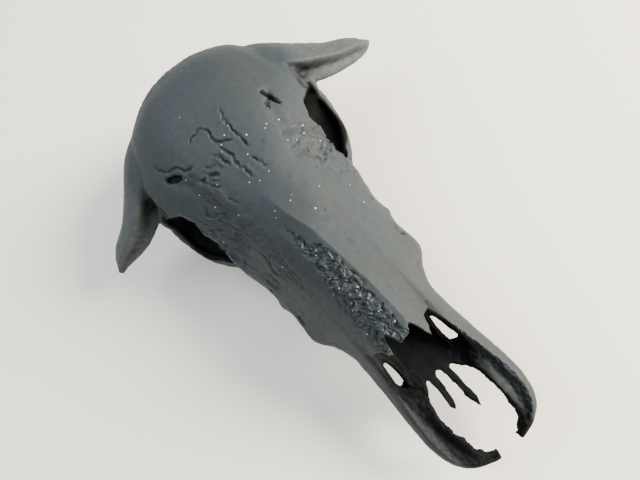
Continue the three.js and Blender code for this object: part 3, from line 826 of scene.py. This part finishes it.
class NodeBoard:
    """The nodes of one material."""

    def __init__(self, name: str) -> None:
        """Makes an empty material.

        Args:
            name: The material's name.
        """
        self.material = bpy.data.materials.new(name)
        self.material.use_nodes = True
        self.tree = self.material.node_tree
        self.tree.nodes.clear()

    def add(
        self,
        kind: str,
        settings: dict[str, Any] | None = None,
        inputs: dict[Any, Any] | None = None,
        output: Any = 0,
    ) -> Value:
        """Adds a node.

        Args:
            kind: The node's type.
            settings: Its own settings, set before its sockets.
            inputs: Values or links for its input sockets, by name or number.
            output: The output socket that is returned, by name or number.

        Returns:
            The wrapped output socket.
        """
        node = self.tree.nodes.new(kind)
        for name, value in (settings or {}).items():
            setattr(node, name, value)
        for name, value in (inputs or {}).items():
            socket = node.inputs[name]
            if isinstance(value, Value):
                self.tree.links.new(value.source, socket)
            else:
                socket.default_value = value
        return Value(self, node.outputs[output] if len(node.outputs) else None)

    def part_of(self, color: Value, name: str) -> Value:
        """Returns one channel of a colour."""
        return self.add("ShaderNodeSeparateColor", {}, {"Color": color}, output=name)

    def mixed(self, factor: Any, first: Any, second: Any, blend: str = "MIX") -> Value:
        """Mixes two colours.

        Args:
            factor: How much of the second there is.
            first: The first colour.
            second: The second colour.
            blend: The way they are mixed.

        Returns:
            The mixed colour.
        """
        settings = {"data_type": "RGBA", "blend_type": blend}
        return self.add("ShaderNodeMix", settings, {0: factor, 6: first, 7: second}, output=2)


@dataclass(frozen=True)
class ResinFinish:
    """Matt slate-grey printing resin with fine mottling and pale specks, with painted shade in cracks,
    hollows and sockets.
    """

    cool: tuple[float, float, float, float] = (0.020, 0.0285, 0.0335, 1.0)
    warm: tuple[float, float, float, float] = (0.023, 0.0285, 0.030, 1.0)
    mottle: tuple[float, float, float, float] = (0.014, 0.018, 0.02, 1.0)
    # Painted light: the horns get a lighter colour that stands in for the stronger light falling on them.
    horn: tuple[float, float, float, float] = (0.048, 0.054, 0.054, 1.0)
    # Painted shade: the near-black colour that hollows, creases, sockets and the nose's inside are darkened
    # towards.
    painted_shade_color: tuple[float, float, float, float] = (0.002, 0.0025, 0.0025, 1.0)
    dust: tuple[float, float, float, float] = (0.45, 0.47, 0.47, 1.0)
    roughness: float = 0.58
    ior: float = 1.48
    specular: float = 0.28
    bump_depth: float = 0.00012

    def material(self, name: str) -> bpy.types.Material:
        """Builds the finish.

        Args:
            name: The material's name.

        Returns:
            The material.
        """
        board = NodeBoard(name)
        place = board.add("ShaderNodeTexCoord", output="Object")

        def noise(scale: float, detail: float) -> Value:
            """Returns noise with that many swells a metre."""
            return board.add("ShaderNodeTexNoise", {}, {"Vector": place, "Scale": scale, "Detail": detail})

        def attribute(title: str) -> Value:
            """Returns one of the skin's own attributes."""
            return board.add("ShaderNodeAttribute", {"attribute_name": title}, output="Fac")

        def dots(scale: float, radius: float, density: Value) -> Value:
            """Returns scattered round dots, as dense as the share says."""
            cells = {"Vector": place, "Scale": scale}
            distance = board.add("ShaderNodeTexVoronoi", {}, cells, output="Distance")
            chosen = board.add("ShaderNodeTexVoronoi", {}, cells, output="Color")
            return (distance < radius) * (board.part_of(chosen, "Red") < density)

        hollow, band, shade = attribute("hollow"), attribute("band"), attribute("shade")
        density = attribute("speck")
        speck = (dots(620.0, 0.12, density) + dots(1000.0, 0.15, density * 0.8)).clamped()
        broad = noise(62.0, 3.0)
        fine = noise(900.0, 4.0)
        tone = board.mixed(broad.eased(0.36, 0.64), self.cool, self.warm)
        # Painted light: the horn attribute lifts the horns to their lighter colour, standing in for the
        # stronger light on them.
        tone_with_painted_horn_light = board.mixed(attribute("horn"), tone, self.horn)
        mottled = board.mixed(fine.eased(0.3, 0.75) * 0.4, tone_with_painted_horn_light, self.mottle)
        # Painted shade: hollows and creases and the shade attribute darken the colour towards the painted
        # shade colour.
        dark = board.mixed((hollow * 5.0 + shade * 0.8).clamped() * 0.95, mottled, self.painted_shade_color)
        color = board.mixed(speck, dark, self.dust)
        rough = self.roughness + fine * 0.14 - band * 0.16 - speck * 0.2
        bump_height = fine * 0.5 + noise(3000.0, 2.0) * 0.5
        relief = {"Strength": 0.25, "Distance": self.bump_depth, "Height": bump_height}
        bump = board.add("ShaderNodeBump", {}, relief, output="Normal")
        inputs = {"Base Color": color, "Roughness": rough, "Normal": bump}
        inputs |= {"IOR": self.ior, "Specular IOR Level": self.specular}
        shader = board.add("ShaderNodeBsdfPrincipled", {}, inputs)
        # Painted shade: a near-black shader with no reflection is mixed in where the shade attribute is
        # strong.
        painted_shade_inputs = {"Base Color": self.painted_shade_color, "Roughness": 1.0, "Specular IOR Level": 0.0}
        inner = board.add("ShaderNodeBsdfPrincipled", {}, painted_shade_inputs)
        depth = (shade * 1.25 - 0.45).clamped()
        surface = board.add("ShaderNodeMixShader", {}, {0: depth, 1: shader, 2: inner})
        board.add("ShaderNodeOutputMaterial", {}, {"Surface": surface})
        return board.material


@dataclass(frozen=True)
class FloorFinish:
    """Pale cream card with a faint grain."""

    color: tuple[float, float, float, float] = (0.89, 0.85, 0.75, 1.0)

    def material(self, name: str) -> bpy.types.Material:
        """Builds the finish and returns the material."""
        board = NodeBoard(name)
        place = board.add("ShaderNodeTexCoord", output="Object")
        grain = board.add("ShaderNodeTexNoise", {}, {"Vector": place, "Scale": 9.0, "Detail": 3.0})
        color = board.mixed(grain.eased(0.3, 0.7) * 0.05, self.color, (0.81, 0.77, 0.68, 1.0))
        shader = board.add("ShaderNodeBsdfPrincipled", {}, {"Base Color": color, "Roughness": 0.85})
        board.add("ShaderNodeOutputMaterial", {}, {"Surface": shader})
        return board.material


def select_only(*objects: bpy.types.Object) -> None:
    """Selects these objects alone and makes the first one active."""
    bpy.ops.object.select_all(action="DESELECT")
    for item in objects:
        item.select_set(True)
    bpy.context.view_layer.objects.active = objects[0]


def choose_nothing(item: bpy.types.Object, kind: str) -> None:
    """Clears the choice of faces or vertices of one object."""
    select_only(item)
    bpy.ops.object.mode_set(mode="EDIT")
    bpy.ops.mesh.select_mode(type=kind)
    bpy.ops.mesh.select_all(action="DESELECT")
    bpy.ops.object.mode_set(mode="OBJECT")


def apply_modifier(item: bpy.types.Object, kind: str, **settings: Any) -> None:
    """Adds a modifier and applies it.

    Args:
        item: The object.
        kind: The modifier's type.
        **settings: Its settings.
    """
    modifier = item.modifiers.new(kind.lower(), kind)
    for name, value in settings.items():
        setattr(modifier, name, value)
    select_only(item)
    bpy.ops.object.modifier_apply(modifier=modifier.name)


@dataclass
class SkullSkin:
    """One closed skin over all bones of the replica."""

    attitude: Attitude = field(default_factory=Attitude)
    finish: ResinFinish = field(default_factory=ResinFinish)
    bridge: float = 0.21
    grain: float = 0.25
    triangles: int = 196000

    def gather(self, nodes: dict[str, bpy.types.Object]) -> bpy.types.Object:
        """Copies the bones into one object and welds their corners.

        Args:
            nodes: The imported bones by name.

        Returns:
            The joined copy.
        """
        copies = []
        for name, node in nodes.items():
            copy = node.copy()
            copy.data = node.data.copy()
            copy.name = f"copy_{name}"
            copy.parent = None
            copy.matrix_world = Matrix.Identity(4)
            copy.data.materials.clear()
            bpy.context.scene.collection.objects.link(copy)
            copies.append(copy)
        select_only(*copies)
        bpy.ops.object.join()
        skin = copies[0]
        bpy.ops.object.mode_set(mode="EDIT")
        bpy.ops.mesh.select_all(action="SELECT")
        bpy.ops.mesh.remove_doubles(threshold=WELD)
        bpy.ops.mesh.normals_make_consistent(inside=False)
        bpy.ops.object.mode_set(mode="OBJECT")
        skin.name = "skull_skin"
        skin.data.name = "skull_skin"
        return skin

    def close(self, skin: bpy.types.Object) -> None:
        """Fills the joints between the bones and gives the skin its fine even grid."""
        swell = self.bridge * MM
        apply_modifier(skin, "DISPLACE", strength=swell, mid_level=0.0)
        apply_modifier(skin, "REMESH", mode="VOXEL", voxel_size=self.grain * MM, use_smooth_shade=True)
        apply_modifier(skin, "DISPLACE", strength=-swell, mid_level=0.0)

    def soften(self, skin: bpy.types.Object) -> None:
        """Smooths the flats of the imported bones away, most on the broad forms and least on thin edges."""
        surface = Surface(skin.data, self.attitude)
        _, y, z = surface.points.T
        side = surface.side
        broad = ramp(y, 86.0, 80.0)
        broad *= 1.0 - 0.6 * ramp(side, 24.0, 28.0) - 0.3 * ramp(side, 44.0, 47.5)
        broad *= 1.0 - 0.85 * ramp(z, -28.5, -30.0)
        group = skin.vertex_groups.new(name="broad")
        levels = np.round(broad * 10.0).astype(int)
        for level in range(1, 11):
            chosen = np.flatnonzero(levels == level)
            if len(chosen):
                group.add(chosen.tolist(), level / 10.0, "REPLACE")
        apply_modifier(skin, "SMOOTH", factor=0.5, iterations=40, vertex_group="broad")
        apply_modifier(skin, "SMOOTH", factor=0.5, iterations=4)
        skin.vertex_groups.clear()

    def refine(self, skin: bpy.types.Object) -> None:
        """Halves the grid where the finest marks are carved: cracks, pits and the nose band."""
        surface = Surface(skin.data, self.attitude)
        x, y, z = surface.points.T
        top = (surface.normals[:, 2] > 0.1) & (z > -16.0)
        wanted = top & (y > 53.0) & (y < 93.0) & (x > -3.5) & (x < 6.5)
        wanted |= top & (surface.side > 8.0) & (y > 34.0) & (y < 52.0)
        for path in [mark.line() for mark in FISSURES] + [np.array([(17.0, 26.6), (13.4, 32.0)])]:
            distance, _ = path_distance(surface.points[:, :2], path)
            wanted |= top & (distance < 1.3)
        wanted |= z < -32.5
        corners = np.empty(len(skin.data.loops), dtype=np.int32)
        skin.data.loops.foreach_get("vertex_index", corners)
        starts = np.empty(len(skin.data.polygons), dtype=np.int32)
        skin.data.polygons.foreach_get("loop_start", starts)
        chosen = np.logical_and.reduceat(wanted[corners], starts)
        choose_nothing(skin, "FACE")
        skin.data.polygons.foreach_set("select", chosen)
        bpy.ops.object.mode_set(mode="EDIT")
        bpy.ops.mesh.subdivide(number_cuts=1)
        bpy.ops.object.mode_set(mode="OBJECT")

    def thin_out(self, skin: bpy.types.Object) -> None:
        """Takes triangles out of the flat places until the skin is light enough."""
        count = sum(len(polygon.vertices) - 2 for polygon in skin.data.polygons)
        if count > self.triangles:
            apply_modifier(skin, "DECIMATE", ratio=self.triangles / count, use_collapse_triangulate=True)

    def drop_crumbs(self, skin: bpy.types.Object) -> None:
        """Deletes whatever the carving has cut loose from the skull."""
        choose_nothing(skin, "VERT")
        highest = max(skin.data.vertices, key=lambda vertex: vertex.co.z)
        highest.select = True
        bpy.ops.object.mode_set(mode="EDIT")
        bpy.ops.mesh.select_linked()
        bpy.ops.mesh.select_all(action="INVERT")
        bpy.ops.mesh.delete(type="VERT")
        bpy.ops.object.mode_set(mode="OBJECT")

    def mark(self, skin: bpy.types.Object, carver: Carver) -> None:
        """Stores painted shade for hollows and insides, painted light for the horns, the glossy band and the
        density of pale specks.

        Args:
            skin: The skin's object.
            carver: Knows where the band and the sockets are.
        """
        surface = Surface(skin.data, self.attitude)
        near, wide = surface.hollowness(3), surface.hollowness(12)
        _, band = carver.nose_band(surface)
        # Painted shade: the hollow attribute darkens creases, cracks and hollows in the finish.
        surface.store("hollow", np.clip(near, 0.0, 0.4) + 0.5 * np.clip(wide - 0.05, 0.0, 0.4))
        surface.store("band", band)
        surface.store("shade", self.shade(surface, carver))
        # Painted light: the horn attribute marks where the horns get a lighter colour for the stronger light
        # on them.
        surface.store("horn", ramp(surface.side, 25.0, 30.0) * ramp(surface.points[:, 1], 6.0, 9.0))
        surface.store("speck", self.specks(surface, band))

    def shade(self, surface: Surface, carver: Carver) -> Array:
        """Works out the painted shade of the nose, the sockets, the blades and the horns' roots.

        Args:
            surface: The skin.
            carver: Knows where the sockets and the horns are.

        Returns:
            Numbers from 0 to 1, the darkest.
        """
        x, y, z = surface.points.T
        side, forward = surface.side, surface.normals[:, 1]
        upward = ramp(surface.normals[:, 2], -0.35, 0.15)
        # Painted shade: the nose's inside, the passage, the sockets, the blades' troughs and the horns'
        # fronts are darkened.
        nose = ramp(y, 80.0, 90.0) * ramp(side, 9.4, 7.6) * ramp(z, -9.0, -13.0) * upward
        passage = ramp(side, 10.0, 8.6) * ramp(y, 56.0, 60.0) * bell(z, -14.0, 7.0) * (side < 10.5)
        inward = -surface.normals[:, 0] * np.sign(x)
        # Painted shade: the near blade is darkened where it turns away from the light.
        near_blade_painted_shade = 0.35 * ramp(x, 4.0, 8.0) * ramp(y, 121.0, 112.0)
        blade = ramp(y, 92.0, 97.0) * (0.5 * ramp(inward, 0.1, 0.5) + near_blade_painted_shade)
        angle, _ = carver.horns.around(surface)
        root = ramp(side, 36.0, 27.0) * ramp(side, 23.0, 25.0)
        horn_front = bell(angle, 20.0, 24.0) * root * ramp(forward, 0.0, 0.4)
        total = np.maximum(nose, passage) * 0.9 + carver.orbit.inside(surface)
        total += np.minimum(blade, 0.6) * upward + 0.5 * horn_front * ramp(z, -20.0, -17.0)
        return np.clip(total, 0.0, 1.0)

    def specks(self, surface: Surface, band: Array) -> Array:
        """Works out how many pale specks there are.

        Args:
            surface: The skin.
            band: How far each vertex belongs to the nose band.

        Returns:
            The share of the places for a speck that are taken.
        """
        x, y, _ = surface.points.T
        density = 0.05 * bell(y, 38.0, 15.0) * ramp(surface.side, 22.0, 14.0) + 0.14 * band
        density += 0.14 * bell(y, 43.0, 7.0) * bell(x, -14.0, 4.0)
        density += 0.09 * bell(y, 52.0, 10.0) * bell(x, -2.0, 4.0)
        density += 0.09 * bell(y, 30.0, 7.0) * bell(x, 0.0, 6.0)
        return density * ramp(surface.normals[:, 2], 0.2, 0.4)

    def build(self, nodes: dict[str, bpy.types.Object]) -> bpy.types.Object:
        """Makes the whole skin.

        Args:
            nodes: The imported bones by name.

        Returns:
            The finished piece.
        """
        skin = self.gather(nodes)
        self.close(skin)
        LOG.info("skin closed: %d vertices", len(skin.data.vertices))
        self.soften(skin)
        carver = Carver()
        carver.forms(Surface(skin.data, self.attitude))
        self.refine(skin)
        surface = Surface(skin.data, self.attitude)
        edge = np.clip(-surface.hollowness(4) / 0.12, 0.0, 1.0)
        carver.details(surface, edge)
        LOG.info("skin carved: %d vertices", len(skin.data.vertices))
        self.thin_out(skin)
        self.drop_crumbs(skin)
        self.mark(skin, carver)
        skin.data.materials.append(self.finish.material("slate_resin"))
        skin.data.polygons.foreach_set("use_smooth", np.ones(len(skin.data.polygons), dtype=bool))
        skin.data.update()
        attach(skin, "root")
        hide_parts(*nodes)
        LOG.info("skin finished: %d triangles", len(skin.data.polygons))
        return skin


@dataclass
class Floor:
    """The plain pale floor under the skull."""

    size: float = 3.0
    finish: FloorFinish = field(default_factory=FloorFinish)

    def build(self) -> bpy.types.Object:
        """Makes the floor and returns it."""
        bpy.ops.object.select_all(action="DESELECT")
        bpy.ops.mesh.primitive_plane_add(size=self.size, location=(0.0, 0.0, 0.0))
        floor = bpy.context.object
        floor.name = "floor"
        floor.data.materials.append(self.finish.material("pale_card"))
        return floor


class LightRole(Enum):
    """What a studio light is for."""

    KEY = "key"
    FILL = "fill"


@dataclass(frozen=True)
class StudioLight:
    """A large soft light that looks at the skull."""

    role: LightRole
    toward: tuple[float, float, float]
    distance: float
    size: float
    power: float
    color: tuple[float, float, float]

    def build(self) -> bpy.types.Object:
        """Makes the light and returns it."""
        data = bpy.data.lights.new(f"{self.role.value}_light", "AREA")
        data.shape = "DISK"
        data.size = self.size
        data.energy = self.power
        data.color = self.color
        light = bpy.data.objects.new(data.name, data)
        bpy.context.scene.collection.objects.link(light)
        direction = Vector(self.toward).normalized()
        target = Vector((0.0, 0.0, 0.02))
        light.location = target + direction * self.distance
        light.rotation_euler = direction.to_track_quat("Z", "Y").to_euler()
        return light


@dataclass(frozen=True)
class Studio:
    """The lights and the even sky of a soft photographic set."""

    lights: tuple[StudioLight, ...] = (
        StudioLight(LightRole.KEY, (0.84, -0.36, 0.46), 0.7, 0.36, 24.0, (1.0, 0.92, 0.80)),
        StudioLight(LightRole.FILL, (-0.4, 0.6, 0.9), 0.9, 0.8, 8.0, (0.84, 0.92, 1.0)),
    )
    sky: tuple[float, float, float, float] = (0.86, 0.9, 0.95, 1.0)
    strength: float = 0.75

    def build(self) -> None:
        """Makes the lights and the sky."""
        for light in self.lights:
            light.build()
        world = bpy.data.worlds.new("even_sky")
        world.use_nodes = True
        background = world.node_tree.nodes["Background"]
        background.inputs["Color"].default_value = self.sky
        background.inputs["Strength"].default_value = self.strength
        bpy.context.scene.world = world


@dataclass(frozen=True)
class PhotoCamera:
    """The camera where the photograph was taken, for a picture of 640 by 480 pixels."""

    eye: tuple[float, float, float] = (3.4, -51.6, 127.6)
    forward: tuple[float, float, float] = (-0.024, 0.403, -0.915)
    up: tuple[float, float, float] = (0.681, 0.677, 0.280)
    lens: float = 27.06
    sensor: float = 36.0

    def build(self) -> bpy.types.Object:
        """Makes the camera, looks through it and returns it."""
        data = bpy.data.cameras.new("photo_camera")
        data.lens = self.lens
        data.sensor_width = self.sensor
        data.clip_start = 0.005
        data.clip_end = 20.0
        camera = bpy.data.objects.new("photo_camera", data)
        bpy.context.scene.collection.objects.link(camera)
        ahead = Vector(self.forward).normalized()
        right = ahead.cross(Vector(self.up)).normalized()
        above = right.cross(ahead)
        turn = Matrix((right, above, -ahead)).transposed().to_4x4()
        camera.matrix_world = Matrix.Translation(Vector(self.eye) * MM) @ turn
        bpy.context.scene.camera = camera
        return camera


def main() -> None:
    """Loads the frame, builds the skull, the floor, the light and the camera."""
    logging.basicConfig(level=logging.INFO, format="%(name)s: %(message)s")
    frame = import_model()
    SkullSkin().build(frame["nodes"])
    Floor().build()
    Studio().build()
    PhotoCamera().build()
    LOG.info("sizes kept")


if __name__ == "__main__":
    main()
